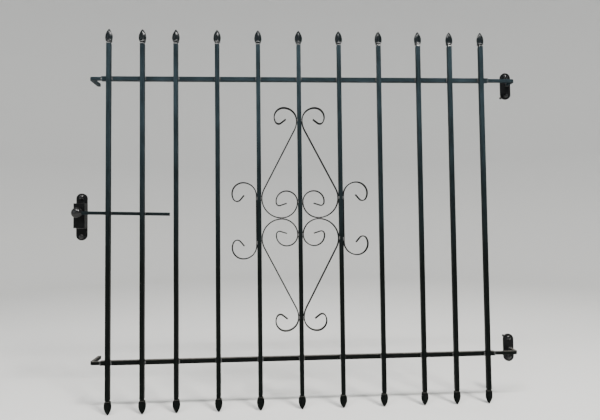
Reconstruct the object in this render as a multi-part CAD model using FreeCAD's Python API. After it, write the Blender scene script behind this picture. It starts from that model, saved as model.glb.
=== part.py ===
import FreeCAD, Part
import math
import os
from FreeCAD import Vector

# Wrought iron window grille, in millimetres. X runs to the right as seen from outside, Y runs into the
# wall and Z runs up. The origin is on the face of the wall, at the middle of the grille.

# Stock that the grille is made from
BAR = 12.7                  # square stock of the upright bars and of the two rails
SMALL_BAR = 9.5             # square stock of the legs and of the tie bar
STRIP = 3.2                 # thickness of the flat strip that the scrolls are bent from
STRIP_DEPTH = 12.7          # width of that strip, measured into the wall
PLATE = 5.0                 # thickness of the wall plates
WELD_GAP = 0.1              # room for weld metal between a scroll and what it is welded to

# The bars and the rails
BAR_LENGTH = 1116.0         # tip to tip
WIDE_PITCH = 120.6          # between the seven bars in the middle
NARROW_PITCH = 96.8         # between the two outer bars on each side
WIDE_BAYS = 3               # on each side of the middle bar
NARROW_BAYS = 2             # on each side, outside the wide ones
RAIL_SPACING = 827.4        # between the middles of the two rails
RAIL_OVERHANG = 24.0        # from the middle of the outer bar to the end of the rail
BAR_STANDOFF = 50.0         # from the wall to the middle of the bars

# The spear that is forged on each end of a bar, from the bar outwards
SHOULDER = 4.5              # length of the slope from the bar down to the neck
NECK = 10.6                 # square of the neck
FLARE = 2.0                 # length of the slope from the neck out to the collar
COLLAR = 15.0               # square of the collar
BASE_RISE = 4.5             # length of the slope from the collar to the base of the blade
BASE_WIDTH = 19.5           # width of the blade at its base
RISE = 7.5                  # length from the base to the widest part of the blade
BLADE_WIDTH = 22.0          # at its widest
BLADE_DEPTH = 11.0          # ridge to ridge, from the base to the widest part
BLADE_LENGTH = 26.0         # from its widest part to the tip
BLADE_SPANS = 4             # lengths of straight edge in the curve of the blade
BLADE_CURVE_RATIO = 2.25    # power of that curve, which is fuller than a parabola
BLADE_TIP = 1.6             # width of the blunted tip
SQUARE_RATIO = 1.0          # place of a section's corners for a square section
DIAMOND_RATIO = 0.5         # the same for a section with a ridge on each side

# The legs between the rail ends and the wall
LEG_BEND = 6.0              # radius of the bend, at the middle of the bar
LEG_TAIL = 25.0             # length that the left legs run on inside the wall
TOP_LEFT_REACH = 55.0       # from the middle of the outer bar to the middle of the leg
BOTTOM_LEFT_REACH = 50.0
TOP_RIGHT_REACH = 105.0
BOTTOM_RIGHT_REACH = 92.5

# The wall plates at the ends of the right legs, and the bolts that hold every wall plate
PLATE_WIDTH = 32.0
PLATE_HEIGHT = 84.0
PLATE_BOLT_EDGE = 13.0      # from the end of the plate to the middle of a bolt
PLATE_INSET = 6.5           # from the middle of the leg to the middle of its plate, in height
PLATE_SHIFT = 6.5           # the same across, towards the window
BOLT = 8.0                  # diameter of the shank
BOLT_NECK = 9.0             # square of the neck that keeps a bolt from turning in its plate
BOLT_HEAD = 17.0            # diameter of the domed head
BOLT_HEAD_HEIGHT = 6.0
BOLT_TAIL = 30.0            # length inside the wall
BOLT_CLEARANCE = 0.5        # round a neck or a shank in its hole
DOME_BANDS = 4              # bands of facets on a domed head, with the flat on its top
DOME_SIDES = 20             # facets round each band

# The lock bracket and the tie bar at the left
BRACKET_X = -648.5
BRACKET_Z = 8.5
BRACKET_PLATE_HEIGHT = 140.0
BRACKET_BOLT_EDGE = 12.0    # from the end of the plate to the middle of a bolt
BLOCK_WIDTH = 32.0
BLOCK_HEIGHT = 73.0
BLOCK_DEPTH = 20.0          # in front of the wall plate
BLOCK_Z = 11.5              # height of the middle of the block
TIE_BAR_Z = 19.5            # height of the tie bar at the lock bolt
TIE_BAR_TILT = 1.4          # degrees that it falls towards the window
TIE_BAR_PAST = 76.0         # from the middle of the second bar to the free end of the tie bar
TIE_EYE = 25.0              # diameter of the round eye at the other end
LOCK_BOLT = 10.0            # diameter of the shank
LOCK_BOLT_HEAD = 30.0       # diameter of the domed head
LOCK_BOLT_HEAD_HEIGHT = 8.5
LOCK_BOLT_GRIP = 20.0       # length of the shank inside the boss and the block

# The scrolls round the middle bar
SCROLL_Z = -3.0             # height of the line on which the upper and lower scrolls touch
LOOP_X = 54.6               # from the middle bar to the point where they touch
THROAT_Z = 290.0            # from that line to the point where the top of a scroll touches the middle bar
THROAT_BEND = 62.0          # radius between that point and the slanting run
INNER_CURL = (32.5, 30.3)   # radii of the curl inside the loop
INNER_HOOK = 9.0            # radius of the hook at its end
TOP_CURL = (38.1, 28.2)     # radii of the curl above the throat
TOP_HOOK = 11.0
C_CURL = (38.5, 32.5)       # radii of the curl at each end of a C scroll
C_HOOK = 12.0
LEFT_C_Z = -8.5             # height of the middle of the left C scroll
LEFT_C_BACK = 146.0         # length of its straight back
RIGHT_C_Z = -4.5            # the same for the right one, which is shorter at its foot
RIGHT_C_BACK = 138.0
HOOK_END = 17.5             # straight end of each hook
INNER_HOOK_END = 20.0

# Angles of bend, in degrees
RIGHT_ANGLE = 90.0
FULL_ANGLE = 360.0
INNER_CURL_EXTRA_ANGLE = 10.0   # turn of a curl past its quarter, before the hook
TOP_CURL_EXTRA_ANGLE = 30.0
C_CURL_EXTRA_ANGLE = 30.0
INNER_HOOK_ANGLE = 98.0
TOP_HOOK_ANGLE = 98.0
C_HOOK_ANGLE = 110.0

# Places that follow from those sizes
BAR_Y = -BAR_STANDOFF
BAR_BACK_Y = BAR_Y + BAR / 2
RAIL_Y = BAR_BACK_Y + BAR / 2
TIE_BAR_Y = BAR_BACK_Y + SMALL_BAR / 2
TIE_BAR_BACK_Y = BAR_BACK_Y + SMALL_BAR
PLATE_FRONT_Y = -PLATE
RAIL_Z = RAIL_SPACING / 2
OUTER_BAR_X = WIDE_BAYS * WIDE_PITCH + NARROW_BAYS * NARROW_PITCH
RAIL_END_X = OUTER_BAR_X + RAIL_OVERHANG
SPEAR_LENGTH = SHOULDER + FLARE + BASE_RISE + RISE + BLADE_LENGTH
STRIP_OFFSET = BAR / 2 + WELD_GAP + STRIP / 2

ORIGIN = Vector(0, 0, 0)
ACROSS = Vector(1, 0, 0)
INWARD = Vector(0, 1, 0)
UP = Vector(0, 0, 1)


def mirrored_across(shape):
    return shape.mirror(ORIGIN, ACROSS)


def box(width, depth, height, middle):
    corner = middle - Vector(width, depth, height) / 2
    return Part.makeBox(width, depth, height, corner)


def direction(angle):
    return Vector(math.cos(math.radians(angle)), math.sin(math.radians(angle)), 0)


def bent_bar(start, heading, moves, thickness, depth):
    """A bar bent in the XY plane. A move is (length, 0) for a straight run, or (radius, turn) for a bend."""
    sides = {1: [], -1: []}
    for size, turn in moves:
        hand = math.copysign(1, turn)
        centre = start + direction(heading + RIGHT_ANGLE * hand) * size
        for side, edges in sides.items():
            points = []
            for share in (0, 0.5, 1):
                along = heading + turn * share
                if turn:
                    point = centre - direction(along + RIGHT_ANGLE * hand) * size
                else:
                    point = start + direction(along) * (size * share)
                points.append(point + direction(along + RIGHT_ANGLE) * (side * thickness / 2))
            if turn:
                edges.append(Part.Arc(*points).toShape())
            else:
                edges.append(Part.makeLine(points[0], points[2]))
        if turn:
            start = centre - direction(heading + turn + RIGHT_ANGLE * hand) * size
        else:
            start = start + direction(heading) * size
        heading += turn
    left, right = sides.values()
    first_end = Part.makeLine(left[0].firstVertex(True).Point, right[0].firstVertex(True).Point)
    last_end = Part.makeLine(left[-1].lastVertex(True).Point, right[-1].lastVertex(True).Point)
    outline = Part.Wire(Part.__sortEdges__(left + right + [first_end, last_end]))
    bar = Part.Face(outline).extrude(UP * depth)
    return bar.translated(UP * (-depth / 2))


def stand_up(shape):
    """Turn what was drawn in plan so that it stands in the plane of the bars."""
    upright = shape.rotated(ORIGIN, ACROSS, RIGHT_ANGLE)
    return upright.translated(INWARD * BAR_Y)


def ring(height, width, depth, corner):
    """Eight points round a bar or spear: the middle of each side, and the corner after it."""
    half_width = width / 2
    half_depth = depth / 2
    corner_x = half_width * corner
    corner_y = half_depth * corner
    half_turn = [(half_width, 0), (corner_x, corner_y), (0, half_depth), (-corner_x, corner_y)]
    points = [Vector(x, y, height) for x, y in half_turn]
    return points + [Vector(-x, -y, height) for x, y in half_turn]


def facet(points):
    return Part.Face(Part.makePolygon(points + points[:1]))


def faceted(rings):
    """Solid with flat facets between rings. Each crease runs from a corner up to the middle of a side."""
    facets = [facet(rings[0]), facet(rings[-1])]
    for lower, upper in zip(rings, rings[1:]):
        for side in range(0, len(lower), 2):
            for corner in (side - 1, side + 1):
                facets.append(facet([lower[side], lower[corner], upper[side]]))
                facets.append(facet([lower[corner], upper[corner], upper[side]]))
    return Part.Solid(Part.Shell(facets))


def upright_bar():
    """Square bar with a spear on each end: shoulder, neck, collar and a ridged blade with a curved outline."""
    height = BAR_LENGTH / 2 - SPEAR_LENGTH
    rings = [ring(0, BAR, BAR, SQUARE_RATIO), ring(height, BAR, BAR, SQUARE_RATIO)]
    height += SHOULDER
    rings.append(ring(height, NECK, NECK, SQUARE_RATIO))
    height += FLARE
    rings.append(ring(height, COLLAR, COLLAR, SQUARE_RATIO))
    height += BASE_RISE
    rings.append(ring(height, BASE_WIDTH, BLADE_DEPTH, DIAMOND_RATIO))
    height += RISE
    blade_tip = BLADE_TIP / BLADE_WIDTH
    for span in range(BLADE_SPANS + 1):
        share = span / BLADE_SPANS
        swell = 1 - (1 - blade_tip) * share ** BLADE_CURVE_RATIO
        level = height + BLADE_LENGTH * share
        rings.append(ring(level, BLADE_WIDTH * swell, BLADE_DEPTH * swell, DIAMOND_RATIO))
    upper_half = faceted(rings)
    return upper_half.fuse(upper_half.mirror(ORIGIN, UP)).removeSplitter()


def dome(width, height):
    """Domed bolt head in flat facets, with its rim at Y = 0 and its top towards -Y."""
    radius = (width ** 2 / 4 + height ** 2) / (2 * height)
    rim_angle = math.asin(width / 2 / radius)
    rings = []
    for band in range(DOME_BANDS):
        angle = rim_angle * (1 - band / DOME_BANDS)
        level = UP * (radius * math.cos(angle) - radius + height)
        turns = [FULL_ANGLE * side / DOME_SIDES for side in range(DOME_SIDES)]
        rings.append([direction(turn) * (radius * math.sin(angle)) + level for turn in turns])
    return faceted(rings).rotated(ORIGIN, ACROSS, RIGHT_ANGLE)


def bolt_heights(plate_height, bolt_edge):
    reach = plate_height / 2 - bolt_edge
    return [-reach, reach]


def wall_plate(height, bolt_edge):
    """Plate with round ends and two square bolt holes, with its back at Y = 0."""
    straight = height - PLATE_WIDTH
    body = box(PLATE_WIDTH, PLATE, straight, Vector(0, PLATE_FRONT_Y / 2, 0))
    for end in (-straight / 2, straight / 2):
        middle = Vector(0, PLATE_FRONT_Y, end)
        body = body.fuse(Part.makeCylinder(PLATE_WIDTH / 2, PLATE, middle, INWARD))
    hole = BOLT_NECK + 2 * BOLT_CLEARANCE
    for bolt_z in bolt_heights(height, bolt_edge):
        body = body.cut(box(hole, PLATE, hole, Vector(0, PLATE_FRONT_Y / 2, bolt_z)))
    return body.removeSplitter()


def anchor_bolt():
    """Dome-headed bolt on the front of a wall plate, with a square neck in the plate and a round shank."""
    head = dome(BOLT_HEAD, BOLT_HEAD_HEIGHT).translated(INWARD * PLATE_FRONT_Y)
    neck = box(BOLT_NECK, PLATE, BOLT_NECK, Vector(0, PLATE_FRONT_Y / 2, 0))
    shank = Part.makeCylinder(BOLT / 2, BOLT_TAIL, ORIGIN, INWARD)
    return head.fuse([neck, shank]).removeSplitter()


def add_wall_plate(name, x, z, height, bolt_edge):
    pieces[name] = wall_plate(height, bolt_edge).translated(Vector(x, 0, z))
    for bolt_z in bolt_heights(height, bolt_edge):
        anchor_bolts.append(anchor_bolt().translated(Vector(x, 0, z + bolt_z)))


def leg(reach, end_y):
    """Leg from the right end of a rail, out to its bend and back to the given depth, at Z = 0."""
    out = reach - RAIL_OVERHANG - LEG_BEND
    back = end_y - RAIL_Y - LEG_BEND
    moves = [(out, 0), (LEG_BEND, RIGHT_ANGLE), (back, 0)]
    return bent_bar(Vector(RAIL_END_X, RAIL_Y, 0), 0, moves, SMALL_BAR, SMALL_BAR)


def scroll():
    """Upper right S scroll: a loop that holds an inner curl, a slanting run and a curl at its top."""
    touch = Vector(LOOP_X, SCROLL_Z + WELD_GAP / 2 + STRIP / 2, 0)
    inner_bend = LOOP_X - STRIP_OFFSET
    outer_bend = WIDE_PITCH - STRIP_OFFSET - LOOP_X
    # the slanting run is the line that touches both the loop and the bend below the throat
    aside = STRIP_OFFSET + THROAT_BEND - touch.x
    above = SCROLL_Z + THROAT_Z - touch.y - outer_bend
    apart = math.hypot(aside, above)
    slant = math.degrees(math.asin((outer_bend + THROAT_BEND) / apart) - math.atan2(aside, above))
    slanting_run = math.sqrt(apart ** 2 - (outer_bend + THROAT_BEND) ** 2)
    to_inner_curl = [
        (inner_bend, -RIGHT_ANGLE),
        (INNER_CURL[0], -RIGHT_ANGLE),
        (INNER_CURL[1], -RIGHT_ANGLE - INNER_CURL_EXTRA_ANGLE),
        (INNER_HOOK, -INNER_HOOK_ANGLE),
        (INNER_HOOK_END, 0),
    ]
    to_top_curl = [
        (outer_bend, RIGHT_ANGLE + slant),
        (slanting_run, 0),
        (THROAT_BEND, -slant),
        (TOP_CURL[0], -RIGHT_ANGLE),
        (TOP_CURL[1], -RIGHT_ANGLE - TOP_CURL_EXTRA_ANGLE),
        (TOP_HOOK, -TOP_HOOK_ANGLE),
        (HOOK_END, 0),
    ]
    inner_part = bent_bar(touch, 2 * RIGHT_ANGLE, to_inner_curl, STRIP, STRIP_DEPTH)
    outer_part = bent_bar(touch, 0, to_top_curl, STRIP, STRIP_DEPTH)
    return stand_up(inner_part.fuse(outer_part).removeSplitter())


def c_scroll(middle_z, back):
    """C scroll on the outer side of the bar to the right of the middle one, with a curl at each end."""
    middle = Vector(WIDE_PITCH + STRIP_OFFSET, middle_z, 0)
    moves = [
        (back / 2, 0),
        (C_CURL[0], -RIGHT_ANGLE),
        (C_CURL[1], -RIGHT_ANGLE - C_CURL_EXTRA_ANGLE),
        (C_HOOK, -C_HOOK_ANGLE),
        (HOOK_END, 0),
    ]
    upper_half = stand_up(bent_bar(middle, RIGHT_ANGLE, moves, STRIP, STRIP_DEPTH))
    lower_half = upper_half.mirror(UP * middle_z, UP)
    return upper_half.fuse(lower_half).removeSplitter()


def lock_hole(start, depth):
    return Part.makeCylinder(LOCK_BOLT / 2 + BOLT_CLEARANCE, depth, start, INWARD)


def tie_bar():
    """Square bar behind the two left bars, with a round eye at its outer end."""
    second_bar_x = -OUTER_BAR_X + NARROW_PITCH
    run = second_bar_x + TIE_BAR_PAST - BRACKET_X
    bar = box(run, SMALL_BAR, SMALL_BAR, Vector(BRACKET_X + run / 2, TIE_BAR_Y, TIE_BAR_Z))
    eye_front = Vector(BRACKET_X, BAR_BACK_Y, TIE_BAR_Z)
    eye = Part.makeCylinder(TIE_EYE / 2, SMALL_BAR, eye_front, INWARD)
    level_bar = bar.fuse(eye).cut(lock_hole(eye_front, SMALL_BAR)).removeSplitter()
    return level_bar.rotated(eye_front, INWARD, TIE_BAR_TILT)


def lock_block():
    """Block on the wall plate, with a round boss up to the eye of the tie bar, bored for the lock bolt."""
    front_y = PLATE_FRONT_Y - BLOCK_DEPTH
    middle = Vector(BRACKET_X, front_y + BLOCK_DEPTH / 2, BLOCK_Z)
    block = box(BLOCK_WIDTH, BLOCK_DEPTH, BLOCK_HEIGHT, middle)
    eye_back = Vector(BRACKET_X, TIE_BAR_BACK_Y, TIE_BAR_Z)
    boss = Part.makeCylinder(TIE_EYE / 2, front_y - TIE_BAR_BACK_Y, eye_back, INWARD)
    return block.fuse(boss).cut(lock_hole(eye_back, LOCK_BOLT_GRIP))


def lock_bolt():
    """Dome-headed bolt through the eye of the tie bar into the boss of the block."""
    shank = Part.makeCylinder(LOCK_BOLT / 2, SMALL_BAR + LOCK_BOLT_GRIP, ORIGIN, INWARD)
    bolt = dome(LOCK_BOLT_HEAD, LOCK_BOLT_HEAD_HEIGHT).fuse(shank).removeSplitter()
    return bolt.translated(Vector(BRACKET_X, BAR_BACK_Y, TIE_BAR_Z))


pieces = {}

# Upright bars, numbered from the left
pitches = [NARROW_PITCH] * NARROW_BAYS + [WIDE_PITCH] * (2 * WIDE_BAYS) + [NARROW_PITCH] * NARROW_BAYS
one_bar = upright_bar()
for number in range(len(pitches) + 1):
    bar_x = sum(pitches[:number]) - OUTER_BAR_X
    pieces["bar_%02d" % (number + 1)] = one_bar.translated(Vector(bar_x, BAR_Y, 0))

# Rails behind the bars
for name, rail_z in (("top_rail", RAIL_Z), ("bottom_rail", -RAIL_Z)):
    pieces[name] = box(2 * RAIL_END_X, BAR, BAR, Vector(0, RAIL_Y, rail_z))

# Legs: those on the left run on into the wall, those on the right end on their plates
pieces["top_left_leg"] = mirrored_across(leg(TOP_LEFT_REACH, LEG_TAIL)).translated(UP * RAIL_Z)
pieces["bottom_left_leg"] = mirrored_across(leg(BOTTOM_LEFT_REACH, LEG_TAIL)).translated(UP * -RAIL_Z)
pieces["top_right_leg"] = leg(TOP_RIGHT_REACH, PLATE_FRONT_Y).translated(UP * RAIL_Z)
pieces["bottom_right_leg"] = leg(BOTTOM_RIGHT_REACH, PLATE_FRONT_Y).translated(UP * -RAIL_Z)

# Wall plates, with two bolts in each
anchor_bolts = []
plate_x = OUTER_BAR_X - PLATE_SHIFT
plate_z = RAIL_Z - PLATE_INSET
add_wall_plate("top_right_plate", plate_x + TOP_RIGHT_REACH, plate_z, PLATE_HEIGHT, PLATE_BOLT_EDGE)
bottom_plate_x = plate_x + BOTTOM_RIGHT_REACH
add_wall_plate("bottom_right_plate", bottom_plate_x, -plate_z, PLATE_HEIGHT, PLATE_BOLT_EDGE)
add_wall_plate("lock_plate", BRACKET_X, BRACKET_Z, BRACKET_PLATE_HEIGHT, BRACKET_BOLT_EDGE)
pieces["anchor_bolts"] = Part.makeCompound(anchor_bolts)

# Lock bracket and tie bar
pieces["lock_block"] = lock_block()
pieces["lock_bolt"] = lock_bolt()
pieces["tie_bar"] = tie_bar()

# Scrollwork
pieces["right_upper_scroll"] = scroll()
pieces["right_lower_scroll"] = pieces["right_upper_scroll"].mirror(UP * SCROLL_Z, UP)
pieces["left_upper_scroll"] = mirrored_across(pieces["right_upper_scroll"])
pieces["left_lower_scroll"] = mirrored_across(pieces["right_lower_scroll"])
pieces["right_c_scroll"] = c_scroll(RIGHT_C_Z, RIGHT_C_BACK)
pieces["left_c_scroll"] = mirrored_across(c_scroll(LEFT_C_Z, LEFT_C_BACK))

os.makedirs("parts", exist_ok=True)
for name, shape in pieces.items():
    shape.exportStep("parts/" + name + ".step")
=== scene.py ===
"""Looks of the wrought iron window grille: forged bars, scrolls, welds and bolts in brushed black paint."""
import math
import bpy
import bmesh
from mathutils import Matrix, Vector, noise


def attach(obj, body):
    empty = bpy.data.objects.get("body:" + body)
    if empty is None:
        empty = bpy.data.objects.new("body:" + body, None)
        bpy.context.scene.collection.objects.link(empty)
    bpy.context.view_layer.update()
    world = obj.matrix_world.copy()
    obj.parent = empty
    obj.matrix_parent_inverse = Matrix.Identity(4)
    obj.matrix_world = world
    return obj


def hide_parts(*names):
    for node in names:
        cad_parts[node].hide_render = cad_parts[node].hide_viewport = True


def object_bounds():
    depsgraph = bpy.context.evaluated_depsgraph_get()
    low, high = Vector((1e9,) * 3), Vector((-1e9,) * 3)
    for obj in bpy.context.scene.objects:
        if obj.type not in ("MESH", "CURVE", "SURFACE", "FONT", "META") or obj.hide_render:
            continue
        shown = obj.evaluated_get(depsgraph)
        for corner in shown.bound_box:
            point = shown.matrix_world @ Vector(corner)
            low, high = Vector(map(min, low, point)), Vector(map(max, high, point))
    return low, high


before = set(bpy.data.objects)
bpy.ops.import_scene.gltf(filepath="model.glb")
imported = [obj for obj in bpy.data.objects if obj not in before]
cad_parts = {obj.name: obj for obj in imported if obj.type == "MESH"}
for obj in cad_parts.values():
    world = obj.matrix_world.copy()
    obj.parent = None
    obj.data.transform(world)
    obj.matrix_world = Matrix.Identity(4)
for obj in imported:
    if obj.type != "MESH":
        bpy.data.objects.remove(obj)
cad_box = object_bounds()
MM = 0.001

# Sizes in millimetres, as in the solids
BAR = 12.7
SMALL_BAR = 9.5
STRIP = 3.2
STRIP_DEPTH = 12.7
PLATE = 5.0
WELD_GAP = 0.1
BAR_HALF = 558.0
WIDE_PITCH = 120.6
NARROW_PITCH = 96.8
RAIL_Z = 413.7
BAR_Y = -50.0
BAR_BACK_Y = BAR_Y + BAR / 2
BAR_FRONT_Y = BAR_Y - BAR / 2
RAIL_Y = BAR_BACK_Y + BAR / 2
OUTER_BAR_X = 3 * WIDE_PITCH + 2 * NARROW_PITCH
RAIL_OVERHANG = 24.0
RAIL_END_X = OUTER_BAR_X + RAIL_OVERHANG
SPEAR_LENGTH = 44.5
BLADE_START = 18.5
BLADE_LENGTH = 26.0
BLADE_WIDTH = 22.0
BLADE_DEPTH = 11.0
TIP_WIDTH = 1.6
LEG_BEND = 6.0
LEG_TAIL = 25.0
TOP_LEFT_REACH = 55.0
BOTTOM_LEFT_REACH = 50.0
TOP_RIGHT_REACH = 105.0
BOTTOM_RIGHT_REACH = 92.5
PLATE_SHIFT = 6.5
PLATE_BOLT_SPACING = 58.0
BOLT = 8.0
BOLT_TAIL = 30.0
BOLT_NECK = 9.0
BOLT_DOME = (17.0, 6.0)
LOCK_BOLT = 10.0
LOCK_BOLT_LENGTH = 29.5
LOCK_DOME = (30.0, 8.5)
BRACKET_X = -648.5
BRACKET_PLATE_Z = 8.5
BRACKET_BOLT_SPACING = 116.0
BLOCK_Z = 11.5
BLOCK_HEIGHT = 73.0
TIE_BAR_Z = 19.5
TIE_BAR_TILT = math.radians(1.4)
SCROLL_Z = -3.0
LOOP_X = 54.6
THROAT_Z = 290.0
THROAT_BEND = 62.0
STRIP_OFFSET = BAR / 2 + WELD_GAP + STRIP / 2
# curls of the strip: bends (radius, turn in degrees), then a straight end (length, 0)
INNER_CURL = [(32.5, -90.0), (30.3, -100.0), (9.0, -98.0), (20.0, 0)]
TOP_CURL = [(38.1, -90.0), (28.2, -120.0), (11.0, -98.0), (17.5, 0)]
C_CURL = [(38.5, -90.0), (32.5, -120.0), (12.0, -110.0), (17.5, 0)]
PITCHES = [NARROW_PITCH] * 2 + [WIDE_PITCH] * 6 + [NARROW_PITCH] * 2
BARS_X = [sum(PITCHES[:n]) - OUTER_BAR_X for n in range(11)]


# Materials
# sockets of a colour mix: its two colours and its result
MIX_FIRST = 6
MIX_SECOND = 7
MIX_RESULT = 2


def paint(name, dark, light, grain, roughness, dust_and_top_light=0.35, dents=0.5, shine=0.02, dust_and_top_light_colour=(0.21, 0.2, 0.18),
          painted_sheen_top=None, patches=11.0, drift=0.3):
    """Brushed paint: cloudy tones with a painted sheen upwards, brush streaks, orange peel, and dust with
    painted top light on what faces up.
    """
    mat = bpy.data.materials.new(name)
    mat.use_nodes = True
    tree = mat.node_tree
    shader = tree.nodes["Principled BSDF"]

    def node(kind, **settings):
        made = tree.nodes.new(kind)
        for key, value in settings.items():
            setattr(made, key, value)
        return made

    def link(source, target):
        tree.links.new(source, target)

    def noise_of(vector, scale, detail, rough=0.55):
        made = node("ShaderNodeTexNoise")
        made.inputs["Scale"].default_value = scale
        made.inputs["Detail"].default_value = detail
        made.inputs["Roughness"].default_value = rough
        link(vector, made.inputs["Vector"])
        return made.outputs["Fac"]

    def remap(source, low, high, to_low, to_high):
        made = node("ShaderNodeMapRange")
        for key, value in (("From Min", low), ("From Max", high), ("To Min", to_low), ("To Max", to_high)):
            made.inputs[key].default_value = value
        link(source, made.inputs["Value"])
        return made.outputs["Result"]

    def math_of(operation, first, second):
        made = node("ShaderNodeMath", operation=operation)
        for place, value in enumerate((first, second)):
            if isinstance(value, float):
                made.inputs[place].default_value = value
            else:
                link(value, made.inputs[place])
        return made.outputs["Value"]

    def mix(factor, first, second):
        made = node("ShaderNodeMix", data_type="RGBA")
        link(factor, made.inputs["Factor"])
        for place, value in ((MIX_FIRST, first), (MIX_SECOND, second)):
            if isinstance(value, tuple):
                made.inputs[place].default_value = (*value, 1.0)
            else:
                link(value, made.inputs[place])
        return made.outputs[MIX_RESULT]

    place = node("ShaderNodeTexCoord").outputs["Object"]
    along = node("ShaderNodeMapping")
    along.inputs["Scale"].default_value = grain
    link(place, along.inputs["Vector"])
    streaks = noise_of(along.outputs["Vector"], 320.0, 3.0)
    clouds = noise_of(place, patches, 4.0)
    lumps = noise_of(place, 95.0, 2.0)
    peel = noise_of(place, 900.0, 2.0)

    # colour: the two paint tones drift over each other, and streaks of the brush show in both
    drifting = remap(clouds, 0.35, 0.65, 0.35 - drift / 2, 0.35 + drift / 2)
    tone = math_of("ADD", drifting, remap(streaks, 0.4, 0.7, 0.0, 0.3))
    # the light tone turns into a painted sheen towards the top: a painted reflection that makes the upper
    # bars lighter and bluer
    height = node("ShaderNodeSeparateXYZ")
    link(place, height.inputs["Vector"])
    colour = mix(tone, dark, mix(remap(height.outputs["Z"], -0.15, 0.4, 0.0, 1.0), light, painted_sheen_top or light))
    # what faces up turns lighter: dust, and painted top light standing in for light on the top faces
    normal = node("ShaderNodeSeparateXYZ")
    link(node("ShaderNodeNewGeometry").outputs["Normal"], normal.inputs["Vector"])
    upward = remap(normal.outputs["Z"], 0.55, 1.0, 0.0, dust_and_top_light)
    dust_and_top_light_mask = math_of("MULTIPLY", upward, remap(lumps, 0.3, 0.7, 0.35, 1.0))
    colour = mix(dust_and_top_light_mask, colour, dust_and_top_light_colour)
    link(colour, shader.inputs["Base Color"])

    gloss = remap(streaks, 0.3, 0.7, roughness - 0.06, roughness + 0.1)
    link(math_of("ADD", gloss, math_of("MULTIPLY", dust_and_top_light_mask, 0.35)), shader.inputs["Roughness"])
    shader.inputs["Specular IOR Level"].default_value = shine

    relief = math_of("ADD", math_of("MULTIPLY", streaks, 0.35), math_of("MULTIPLY", peel, 0.12))
    relief = math_of("ADD", relief, math_of("MULTIPLY", lumps, dents))
    bump = node("ShaderNodeBump")
    bump.inputs["Strength"].default_value = 0.35
    bump.inputs["Distance"].default_value = 0.0006
    link(relief, bump.inputs["Height"])
    link(bump.outputs["Normal"], shader.inputs["Normal"])
    return mat


UPRIGHT = (1.0, 1.0, 0.06)
LEVEL = (0.06, 1.0, 1.0)
EVEN = (0.5, 0.5, 0.5)
BLACK = (0.0029, 0.0038, 0.0036)
SOOT = (0.0056, 0.0068, 0.0062)
# a painted sheen: a painted reflection that lightens the upper bars and rails towards blue-black
SHEEN_BLUE_BLACK = (0.03, 0.0475, 0.058)
bar_paint = paint("bar_paint_upright", BLACK, SOOT, UPRIGHT, 0.32, painted_sheen_top=SHEEN_BLUE_BLACK)
# the top spears carry a darker painted sheen of their own
spear_paint = paint("bar_paint_spear", BLACK, SOOT, UPRIGHT, 0.19, shine=0.12, painted_sheen_top=(0.01, 0.014, 0.017))
# the rails take more dust and painted top light on their top faces
rail_paint = paint("bar_paint_level", BLACK, SOOT, LEVEL, 0.32, dust_and_top_light=0.55, painted_sheen_top=SHEEN_BLUE_BLACK)
scroll_paint = paint("scroll_paint_strip", (0.003, 0.003, 0.0033), (0.007, 0.0073, 0.0077), EVEN, 0.42)
bracket_paint = paint("bracket_paint_thick", (0.0025, 0.0027, 0.003), (0.006, 0.0065, 0.007), EVEN, 0.34,
                      dust_and_top_light=0.5, dents=0.9, shine=0.09)
bolt_paint = paint("bolt_paint_dome", (0.0025, 0.0027, 0.003), (0.007, 0.0075, 0.0085), EVEN, 0.12,
                   dust_and_top_light=0.3, dents=0.6, shine=0.35)
# the welds are painted bright on their crests, a painted highlight shown as worn paint, with pale dust and
# painted top light on what faces up; less so on the brackets
weld_paint = paint("bar_paint_weld", (0.008, 0.009, 0.01), (0.15, 0.15, 0.152), EVEN, 0.16,
                   dust_and_top_light=0.8, dents=0.9, shine=0.6, dust_and_top_light_colour=(0.5, 0.5, 0.48), patches=420.0, drift=0.7)
coated_weld_paint = paint("bracket_paint_weld", (0.004, 0.0045, 0.005), (0.045, 0.045, 0.046), EVEN, 0.2,
                          dust_and_top_light=0.6, dents=0.9, shine=0.4, dust_and_top_light_colour=(0.3, 0.29, 0.27), patches=420.0, drift=0.7)


# Mesh helpers
SHARP_EDGE = math.radians(40)


def piece(name, bm, material, slot, *replaced, crease=32.0):
    """An object from a mesh in millimetres, with its material and the nodes that it stands for; the slot
    argument is not used.
    """
    for vertex in bm.verts:
        vertex.co *= MM
    bmesh.ops.recalc_face_normals(bm, faces=bm.faces)
    mesh = bpy.data.meshes.new(name)
    bm.to_mesh(mesh)
    bm.free()
    mesh.materials.append(material)
    for polygon in mesh.polygons:
        polygon.use_smooth = True
    mesh.set_sharp_from_angle(angle=math.radians(crease))
    made = bpy.data.objects.new(name, mesh)
    bpy.context.scene.collection.objects.link(made)
    # flat faces stay evenly lit up to their rounded edges
    even = made.modifiers.new("even_normals", "WEIGHTED_NORMAL")
    even.keep_sharp = True
    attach(made, "root")
    if replaced:
        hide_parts(*replaced)
    return made


def skin(bm, rings, closed=False):
    """Faces between rings of points, with a cap on each end unless the run of rings is closed."""
    loops = [[bm.verts.new(point) for point in ring] for ring in rings]
    runs = list(zip(loops, loops[1:]))
    if closed:
        runs.append((loops[-1], loops[0]))
    for lower, upper in runs:
        for side in range(len(lower)):
            bm.faces.new((lower[side - 1], lower[side], upper[side], upper[side - 1]))
    if not closed:
        bm.faces.new(list(reversed(loops[0])))
        bm.faces.new(loops[-1])


def rounded_rectangle(width, depth, radius, steps=3):
    """Points round a rectangle with round corners, about its middle."""
    points = []
    for corner in range(4):
        sign_x = (1, -1, -1, 1)[corner]
        sign_y = (1, 1, -1, -1)[corner]
        for step in range(steps + 1):
            angle = math.radians(90 * (corner + step / steps))
            x = sign_x * (width / 2 - radius) + radius * math.cos(angle)
            points.append((x, sign_y * (depth / 2 - radius) + radius * math.sin(angle)))
    return points


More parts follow.
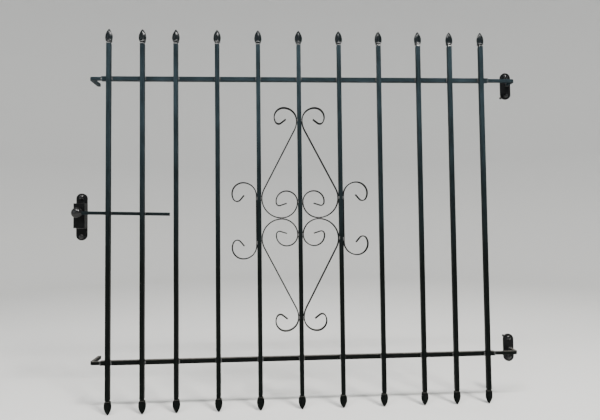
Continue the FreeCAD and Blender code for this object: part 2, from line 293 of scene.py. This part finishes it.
def path_of(start, heading, moves, step=4.0):
    """Points and headings along runs (length, 0) and bends (radius, turn in degrees) in a plane."""
    x, y = start
    made = [(x, y, heading)]
    for size, turn in moves:
        if not turn:
            x += size * math.cos(math.radians(heading))
            y += size * math.sin(math.radians(heading))
            made.append((x, y, heading))
            continue
        count = max(2, math.ceil(abs(turn) / step))
        hand = math.copysign(90.0, turn)
        middle_x = x + size * math.cos(math.radians(heading + hand))
        middle_y = y + size * math.sin(math.radians(heading + hand))
        for n in range(1, count + 1):
            now = heading + turn * n / count
            x = middle_x - size * math.cos(math.radians(now + hand))
            y = middle_y - size * math.sin(math.radians(now + hand))
            made.append((x, y, now))
        heading += turn
    return made


def swept(path, section, to_space):
    """Rings of a section carried along a path; to_space turns (along x, along y, across) into a point."""
    rings = []
    for x, y, heading in path:
        side_x = math.cos(math.radians(heading + 90.0))
        side_y = math.sin(math.radians(heading + 90.0))
        rings.append([to_space(x + side_x * u, y + side_y * u, v) for u, v in section])
    return rings


def softened(node, name, material, slot, width, least=0.0):
    """The node's own shape with its sharp edges rounded, where they are longer than the least length."""
    bm = bmesh.new()
    bm.from_mesh(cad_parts[node].data)
    for vertex in bm.verts:
        vertex.co /= MM
    bmesh.ops.remove_doubles(bm, verts=bm.verts, dist=0.001)
    bmesh.ops.dissolve_limit(bm, angle_limit=math.radians(0.4), verts=bm.verts, edges=bm.edges)
    sharp = []
    for edge in bm.edges:
        if len(edge.link_faces) == 2 and edge.calc_length() > least and edge.calc_face_angle() > SHARP_EDGE:
            sharp.append(edge)
    bmesh.ops.bevel(bm, geom=sharp, offset=width, segments=3, profile=0.5, affect="EDGES", clamp_overlap=True)
    return piece(name, bm, material, slot, node)


# The upright bars, with a forged spear on each end
SWAY_X = 0.25
SWAY_Y = 0.1
SWAY_PACE = 0.006


def forged_ring(height, width, depth, power, shift, count=32):
    """Ring of a forging at one height, square at a high power and lozenge-shaped near a power of one."""
    points = []
    for n in range(count):
        angle = 2 * math.pi * n / count
        c = math.cos(angle)
        s = math.sin(angle)
        x = width / 2 * math.copysign(abs(c) ** (2 / power), c)
        y = depth / 2 * math.copysign(abs(s) ** (2 / power), s)
        points.append(Vector((x + shift[0], y + shift[1], height)))
    return points


SPEAR = [  # distance from the end of the plain bar, width, depth, squareness
    (0.0, 12.7, 12.7, 24.0), (0.3, 12.64, 12.64, 22.0), (0.7, 12.44, 12.44, 20.0), (3.8, 10.89, 10.89, 11.0),
    (4.2, 10.7, 10.7, 10.0), (4.5, 10.6, 10.6, 9.0), (5.3, 11.2, 11.2, 9.0), (6.1, 14.0, 14.0, 9.0),
    (6.5, 14.9, 14.9, 9.0), (6.8, 15.1, 14.9, 8.0), (7.2, 15.4, 14.72, 8.0), (9.2, 17.0, 13.64, 5.0),
    (9.6, 17.4, 13.3, 4.0), (10.3, 18.7, 12.5, 2.2), (11.0, 19.5, 11.8, 1.4), (13.0, 20.6, 11.2, 1.2)]
for span in range(13):
    share = span / 12
    swell = 1 - (1 - TIP_WIDTH / BLADE_WIDTH) * share ** 2.25
    SPEAR.append((BLADE_START + BLADE_LENGTH * share, BLADE_WIDTH * swell, BLADE_DEPTH * swell, 1.18))


def spear_rows(number, end, plain, seed):
    """Rows of one spear; each stroke of the hammer lands a little differently."""
    rows = []
    for distance, width, depth, power in SPEAR:
        stray = noise.noise(Vector((number * 3.7, distance * 0.11, seed))) * min(1.0, distance / 12)
        rows.append((end * (plain + distance), width * (1 + 0.03 * stray), depth * (1 - 0.03 * stray), power))
    return rows


def forged_bar(number, x):
    """One bar in one skin: the lower spear, the plain run and the upper spear."""
    bm = bmesh.new()
    plain = BAR_HALF - SPEAR_LENGTH
    upper = spear_rows(number, 1, plain, 0.5)
    lower = spear_rows(number, -1, plain, 7.5)
    run = [(-plain + 2 * plain * n / 24, BAR, BAR, 24.0) for n in range(1, 24)]
    rings = []
    for height, width, depth, power in lower[::-1] + run + upper:
        # the bar was straightened by hand, so it is a shade off true between the rails
        sway_x = SWAY_X * noise.noise(Vector((number * 5.1, height * SWAY_PACE, 2.0)))
        sway_y = SWAY_Y * noise.noise(Vector((number * 5.1, height * SWAY_PACE, 9.0)))
        rings.append(forged_ring(height, width, depth, power, (x + sway_x, BAR_Y + sway_y)))
    skin(bm, rings)
    made = piece("forged_bar_%02d" % number, bm, bar_paint, "bar_paint", "bar_%02d" % number, crease=50.0)
    # the top spears face the sky and are glossier than the rest
    made.data.materials.append(spear_paint)
    for polygon in made.data.polygons:
        polygon.material_index = int(polygon.center.z > plain * MM)


for number, x in enumerate(BARS_X, 1):
    forged_bar(number, x)


# The rails, the tie bar, the lock block and the plates keep the node's own shape, with rounded edges
softened("top_rail", "top_rail_rounded", rail_paint, "bar_paint", 0.6)
softened("bottom_rail", "bottom_rail_rounded", rail_paint, "bar_paint", 0.6)
softened("tie_bar", "tie_bar_rounded", rail_paint, "bar_paint", 0.5, least=5.0)
softened("lock_block", "lock_block_rounded", bracket_paint, "bracket_paint", 0.8, least=5.0)
for name in ("top_right_plate", "bottom_right_plate", "lock_plate"):
    softened(name, name + "_rounded", bracket_paint, "bracket_paint", 0.6)


# The legs
def bent_leg(name, side, reach, end_y, z):
    """A square leg that runs on from the end of a rail and bends once, away from the bars."""
    bm = bmesh.new()
    moves = [(reach - RAIL_OVERHANG - LEG_BEND, 0), (LEG_BEND, 90.0), (end_y - RAIL_Y - LEG_BEND, 0)]
    path = path_of((RAIL_END_X, RAIL_Y), 0.0, moves, 7.5)
    section = rounded_rectangle(SMALL_BAR, SMALL_BAR, 0.8)
    skin(bm, swept(path, section, lambda a, b, c: Vector((side * a, b, z + c))))
    piece(name + "_bent", bm, rail_paint, "bar_paint", name)


bent_leg("top_left_leg", -1, TOP_LEFT_REACH, LEG_TAIL, RAIL_Z)
bent_leg("bottom_left_leg", -1, BOTTOM_LEFT_REACH, LEG_TAIL, -RAIL_Z)
bent_leg("top_right_leg", 1, TOP_RIGHT_REACH, -PLATE, RAIL_Z)
bent_leg("bottom_right_leg", 1, BOTTOM_RIGHT_REACH, -PLATE, -RAIL_Z)


# The scrolls
STRIP_SECTION = rounded_rectangle(STRIP, STRIP_DEPTH, 0.4)


def s_scroll(name, side, lift):
    """One S-shaped strip. Returns how high it touches the middle bar and the bar beside it."""
    touch = (LOOP_X, WELD_GAP / 2 + STRIP / 2)
    inner_bend = LOOP_X - STRIP_OFFSET
    outer_bend = WIDE_PITCH - STRIP_OFFSET - LOOP_X
    aside = STRIP_OFFSET + THROAT_BEND - LOOP_X
    above = THROAT_Z - touch[1] - outer_bend
    apart = math.hypot(aside, above)
    slant = math.degrees(math.asin((outer_bend + THROAT_BEND) / apart) - math.atan2(aside, above))
    slanting_run = math.sqrt(apart ** 2 - (outer_bend + THROAT_BEND) ** 2)
    inner = path_of(touch, 180.0, [(inner_bend, -90.0)] + INNER_CURL)
    rise = [(outer_bend, 90.0 + slant), (slanting_run, 0), (THROAT_BEND, -slant)]
    outer = path_of(touch, 0.0, rise + TOP_CURL)
    # one strip from the inner curl, through the loop, to the top curl
    whole = [(a, b, heading + 180.0) for a, b, heading in reversed(inner[1:])] + outer
    bm = bmesh.new()
    skin(bm, swept(whole, STRIP_SECTION, lambda a, b, c: Vector((side * a, BAR_Y + c, SCROLL_Z + lift * b))))
    piece(name + "_strip", bm, scroll_paint, "scroll_paint", name, crease=40.0)
    return touch[1] + inner_bend, touch[1] + outer_bend


def c_scroll(name, side, middle_z, back):
    """One C-shaped strip: a straight back with a curl on each end."""
    half = path_of((WIDE_PITCH + STRIP_OFFSET, 0.0), 90.0, [(back / 2, 0)] + C_CURL)
    whole = [(a, -b, 180.0 - heading) for a, b, heading in reversed(half[1:])] + half[1:]
    bm = bmesh.new()
    skin(bm, swept(whole, STRIP_SECTION, lambda a, b, c: Vector((side * a, BAR_Y + c, middle_z + b))))
    piece(name + "_strip", bm, scroll_paint, "scroll_paint", name, crease=40.0)


inner_touch, outer_touch = s_scroll("right_upper_scroll", 1, 1)
s_scroll("left_upper_scroll", -1, 1)
s_scroll("right_lower_scroll", 1, -1)
s_scroll("left_lower_scroll", -1, -1)
# name, side, height of the middle and length of the straight back
C_SCROLLS = (("left_c_scroll", -1, -8.5, 146.0), ("right_c_scroll", 1, -4.5, 138.0))
for name, side, middle_z, back in C_SCROLLS:
    c_scroll(name, side, middle_z, back)


# The bolts, with smooth domes
def lathe(bm, profile, x, z, count=48):
    """Solid of revolution along Y through (x, z), from (radius, y) pairs."""
    rings = []
    for radius, y in profile:
        turns = [2 * math.pi * n / count for n in range(count)]
        rings.append([Vector((x + radius * math.cos(t), y, z + radius * math.sin(t))) for t in turns])
    skin(bm, rings)


def dome_profile(width, height, base_y):
    """Pairs of radius and y from the crown of a dome to its rim."""
    radius = (width ** 2 / 4 + height ** 2) / (2 * height)
    rim = math.asin(width / 2 / radius)
    profile = [(0.15, base_y - height)]
    for n in range(1, 14):
        angle = rim * n / 14
        profile.append((radius * math.sin(angle), base_y - height + radius * (1 - math.cos(angle))))
    return profile + [(width / 2 - 0.1, base_y - 0.5), (width / 2, base_y - 0.25), (width / 2 - 0.1, base_y)]


def shank(bm, width, base_y, end_y, x, z):
    """Round shank with a chamfered end."""
    lathe(bm, [(width / 2, base_y), (width / 2, end_y - 0.8), (width / 2 - 0.7, end_y)], x, z, 32)


BOLT_PAIRS = (  # x and z midway between two bolts, and their spacing
    (OUTER_BAR_X + TOP_RIGHT_REACH - PLATE_SHIFT, RAIL_Z - PLATE_SHIFT, PLATE_BOLT_SPACING),
    (OUTER_BAR_X + BOTTOM_RIGHT_REACH - PLATE_SHIFT, PLATE_SHIFT - RAIL_Z, PLATE_BOLT_SPACING),
    (BRACKET_X, BRACKET_PLATE_Z, BRACKET_BOLT_SPACING))
bm = bmesh.new()
anchors = []
for x, z, spacing in BOLT_PAIRS:
    anchors += [(x, z - spacing / 2), (x, z + spacing / 2)]
for x, z in anchors:
    lathe(bm, dome_profile(*BOLT_DOME, -PLATE), x, z)
    shank(bm, BOLT, -0.01, BOLT_TAIL, x, z)
    neck = [(x + a, z + b) for a, b in rounded_rectangle(BOLT_NECK, BOLT_NECK, 0.8)]
    skin(bm, [[Vector((a, y, b)) for a, b in neck] for y in (-PLATE, 0.0)])
piece("anchor_bolts_domed", bm, bolt_paint, "bolt_paint", "anchor_bolts", crease=45.0)

bm = bmesh.new()
lathe(bm, dome_profile(*LOCK_DOME, BAR_BACK_Y), BRACKET_X, TIE_BAR_Z, 64)
shank(bm, LOCK_BOLT, BAR_BACK_Y, BAR_BACK_Y + LOCK_BOLT_LENGTH, BRACKET_X, TIE_BAR_Z)
piece("lock_bolt_domed", bm, bolt_paint, "bolt_paint", "lock_bolt", crease=45.0)


# The weld beads: their radii, and how far each reaches to either side of its middle
RAIL_BEAD = 2.0
LEG_BEAD = 1.7
SCROLL_BEAD = 1.7
LOOP_BEAD = 1.5
TIE_BEAD = 1.8
PLATE_BEAD = 1.9
BLOCK_BEAD = 1.6
RAIL_BEAD_REACH = 5.2
SCROLL_BEAD_REACH = 4.5
LOOP_BEAD_REACH = 4.0
C_BEAD_REACH = 5.0
C_BEAD_INSET = 8.0
TIE_BEAD_REACH = 3.6
BLOCK_BEAD_REACH = 13.4


def bead(bm, points, radius, seed, closed=False, sides=10):
    """A lumpy bead of weld metal along a line of points, laid in overlapping ripples."""
    line = [Vector(point) for point in points]
    if closed:
        line.append(line[0])
    stations = []
    for first, second in zip(line, line[1:]):
        steps = max(2, round((second - first).length / (radius * 0.45)))
        stations += [first.lerp(second, n / steps) for n in range(steps)]
    if not closed:
        stations.append(line[-1])
    count = len(stations)
    rings = []
    for n, middle in enumerate(stations):
        ahead = stations[(n + 1) % count] if closed else stations[min(n + 1, count - 1)]
        behind = stations[n - 1] if closed else stations[max(n - 1, 0)]
        tangent = (ahead - behind).normalized()
        across = tangent.cross(Vector((0.31, 0.87, 0.38))).normalized()
        over = tangent.cross(across)
        taper = 1.0 if closed else min(1.0, 0.45 + 0.4 * min(n, count - 1 - n))
        ripple = 1 + 0.12 * math.sin(n * 2.3 + seed)
        ring = []
        for side in range(sides):
            angle = 2 * math.pi * side / sides
            outward = across * math.cos(angle) + over * math.sin(angle)
            lump = noise.noise((middle + outward * radius) * 0.55 + Vector((seed * 1.7, 0, 0)))
            ring.append(middle + outward * (radius * taper * ripple * (1 + 0.35 * lump)))
        rings.append(ring)
    skin(bm, rings, closed)


def square_ring(x, y, z, size, axis):
    """Corners of a square that stands across the x axis or the y axis."""
    half = size / 2
    corners = ((-half, -half), (half, -half), (half, half), (-half, half))
    if axis == "x":
        return [(x, y + a, z + b) for a, b in corners]
    return [(x + a, y, z + b) for a, b in corners]


bm = bmesh.new()
for number, x in enumerate(BARS_X):
    for z in (RAIL_Z, -RAIL_Z):
        for side in (-1, 1):
            reach = RAIL_BEAD_REACH + 0.8 * noise.noise(Vector((number, z, side)))
            edge = x + side * (BAR / 2 + 0.5)
            seed = number * 4 + side + (z > 0) * 2
            line = [(edge, BAR_BACK_Y - 0.3, z - reach), (edge, BAR_BACK_Y - 0.3, z + reach)]
            bead(bm, line, RAIL_BEAD, seed)
for side in (-1, 1):
    for z in (RAIL_Z, -RAIL_Z):
        bead(bm, square_ring(side * RAIL_END_X, RAIL_Y, z, SMALL_BAR + 0.6, "x"), LEG_BEAD, side + z, True)
piece("rail_welds", bm, weld_paint, "bar_paint", crease=60.0)

SEAMS_Y = (BAR_FRONT_Y + 0.4, BAR_BACK_Y - 0.4)
bm = bmesh.new()
seed = 0
for side in (-1, 1):
    for lift in (-1, 1):
        for x, height in ((BAR / 2, inner_touch), (WIDE_PITCH - BAR / 2, outer_touch), (BAR / 2, THROAT_Z)):
            z = SCROLL_Z + lift * height
            seed += 1
            for y in SEAMS_Y:
                line = [(side * x, y, z - SCROLL_BEAD_REACH), (side * x, y, z + SCROLL_BEAD_REACH)]
                bead(bm, line, SCROLL_BEAD, seed)
    for y in SEAMS_Y:
        line = [(side * LOOP_X + shift, y, SCROLL_Z) for shift in (-LOOP_BEAD_REACH, LOOP_BEAD_REACH)]
        bead(bm, line, LOOP_BEAD, seed + 20)
for name, side, middle_z, back in C_SCROLLS:
    for end in (-1, 1):
        z = middle_z + end * (back / 2 - C_BEAD_INSET)
        x = side * (WIDE_PITCH + BAR / 2)
        for y in SEAMS_Y:
            bead(bm, [(x, y, z - C_BEAD_REACH), (x, y, z + C_BEAD_REACH)], SCROLL_BEAD, z)
piece("scroll_welds", bm, weld_paint, "scroll_paint", crease=60.0)

bm = bmesh.new()
for number, x in enumerate(BARS_X[:2]):
    z = TIE_BAR_Z - math.tan(TIE_BAR_TILT) * (x - BRACKET_X)
    for side in (-1, 1):
        edge = x + side * (BAR / 2 + 0.4)
        line = [(edge, BAR_BACK_Y - 0.2, z + shift) for shift in (-TIE_BEAD_REACH, TIE_BEAD_REACH)]
        bead(bm, line, TIE_BEAD, number + side)
for x, z in ((OUTER_BAR_X + TOP_RIGHT_REACH, RAIL_Z), (OUTER_BAR_X + BOTTOM_RIGHT_REACH, -RAIL_Z)):
    bead(bm, square_ring(x, -PLATE - 0.6, z, SMALL_BAR + 1.6, "y"), PLATE_BEAD, x, True)
block_foot = BLOCK_Z - BLOCK_HEIGHT / 2
for side in (-1, 1):
    x = BRACKET_X + side * BLOCK_BEAD_REACH
    line = [(x, -PLATE - 0.6, block_foot - 0.4), (BRACKET_X, -PLATE - 0.6, block_foot - 0.7)]
    bead(bm, line, BLOCK_BEAD, side)
piece("bracket_welds", bm, coated_weld_paint, "bracket_paint", crease=60.0)


# The floor and the backdrop
def pale(name, floor_colour, backdrop_colour, low, high):
    """Matt studio paper, pale on the floor and a shade deeper up the backdrop."""
    mat = bpy.data.materials.new(name)
    mat.use_nodes = True
    tree = mat.node_tree
    shader = tree.nodes["Principled BSDF"]
    height = tree.nodes.new("ShaderNodeSeparateXYZ")
    tree.links.new(tree.nodes.new("ShaderNodeTexCoord").outputs["Object"], height.inputs["Vector"])
    rise = tree.nodes.new("ShaderNodeMapRange")
    rise.inputs["From Min"].default_value = low
    rise.inputs["From Max"].default_value = high
    tree.links.new(height.outputs["Z"], rise.inputs["Value"])
    blend = tree.nodes.new("ShaderNodeMix")
    blend.data_type = "RGBA"
    tree.links.new(rise.outputs["Result"], blend.inputs["Factor"])
    blend.inputs[MIX_FIRST].default_value = (*floor_colour, 1.0)
    blend.inputs[MIX_SECOND].default_value = (*backdrop_colour, 1.0)
    tree.links.new(blend.outputs[MIX_RESULT], shader.inputs["Base Color"])
    shader.inputs["Roughness"].default_value = 0.9
    shader.inputs["Specular IOR Level"].default_value = 0.1
    return mat


# metres: a round floor that curves up into a round backdrop
FLOOR_GAP = 0.0005
FLOOR_MIDDLE = 2.0
FLOOR_RADIUS = 3.5
BACKDROP_BEND = 2.0
BACKDROP_HEIGHT = 7.0
SHADE_RISE = 1.4
FLOOR_COLOUR = (0.82, 0.82, 0.8)
BACKDROP_COLOUR = (0.61, 0.615, 0.61)
bm = bmesh.new()
floor_z = cad_box[0].z - FLOOR_GAP
sweep = [(FLOOR_MIDDLE, floor_z), (FLOOR_RADIUS, floor_z)]
for n in range(1, 13):
    angle = math.radians(90 * n / 12)
    radius = FLOOR_RADIUS + BACKDROP_BEND * math.sin(angle)
    sweep.append((radius, floor_z + BACKDROP_BEND * (1 - math.cos(angle))))
sweep.append((FLOOR_RADIUS + BACKDROP_BEND, floor_z + BACKDROP_HEIGHT))
turns = [2 * math.pi * n / 96 for n in range(96)]
loops = [[bm.verts.new((r * math.cos(t), r * math.sin(t), z)) for t in turns] for r, z in sweep]
bm.faces.new(loops[0])
for lower, upper in zip(loops, loops[1:]):
    for side in range(len(turns)):
        bm.faces.new((lower[side], lower[side - 1], upper[side - 1], upper[side]))
mesh = bpy.data.meshes.new("studio_floor")
bm.to_mesh(mesh)
bm.free()
mesh.materials.append(pale("studio_pale", FLOOR_COLOUR, BACKDROP_COLOUR, floor_z, floor_z + SHADE_RISE))
for polygon in mesh.polygons:
    polygon.use_smooth = True
floor = bpy.data.objects.new("studio_floor", mesh)
bpy.context.scene.collection.objects.link(floor)


# Light
def area_light(name, place, target, width, height, power, colour):
    data = bpy.data.lights.new(name, "AREA")
    data.shape = "RECTANGLE"
    data.size = width
    data.size_y = height
    data.energy = power
    data.color = colour
    lamp = bpy.data.objects.new(name, data)
    lamp.location = place
    lamp.rotation_euler = (Vector(target) - Vector(place)).to_track_quat("-Z", "Y").to_euler()
    bpy.context.scene.collection.objects.link(lamp)


area_light("key", (1.5, -2.6, 3.4), (0, 0, 0), 0.7, 0.7, 170.0, (1.0, 0.98, 0.94))
area_light("strip", (0.1, -1.85, 2.8), (0.05, 0, 0.5), 3.4, 0.3, 170.0, (1.0, 0.98, 0.96))
area_light("fill", (-3.2, -2.4, 1.2), (0, 0, 0), 2.2, 2.2, 25.0, (0.9, 0.95, 1.0))
area_light("backdrop_light", (0.0, 1.6, 3.6), (0, 4.2, 0.4), 2.4, 2.4, 20.0, (1.0, 1.0, 1.0))
world = bpy.data.worlds.new("studio_world")
world.use_nodes = True
world.node_tree.nodes["Background"].inputs["Color"].default_value = (0.86, 0.92, 1.0, 1.0)
world.node_tree.nodes["Background"].inputs["Strength"].default_value = 0.3
bpy.context.scene.world = world

# Camera, fitted to the bars and rails in the photograph, with its angles in radians and its place in metres
YAW = 0.0528
PITCH = 0.0373
ROLL = -0.0112
CAMERA_PLACE = (-0.0736, -1.43, -0.0302)
LENS = 28.115
forward = Vector((math.sin(YAW) * math.cos(PITCH), math.cos(YAW) * math.cos(PITCH), math.sin(PITCH)))
right = Vector((math.cos(YAW), -math.sin(YAW), 0.0))
up = right.cross(forward)
tilted_right = right * math.cos(ROLL) + up * math.sin(ROLL)
tilted_up = up * math.cos(ROLL) - right * math.sin(ROLL)
data = bpy.data.cameras.new("camera")
data.sensor_width = 36.0
data.lens = LENS
camera = bpy.data.objects.new("camera", data)
turn = Matrix((tilted_right, tilted_up, -forward)).transposed()
camera.matrix_world = Matrix.Translation(CAMERA_PLACE) @ turn.to_4x4()
bpy.context.scene.collection.objects.link(camera)
bpy.context.scene.camera = camera
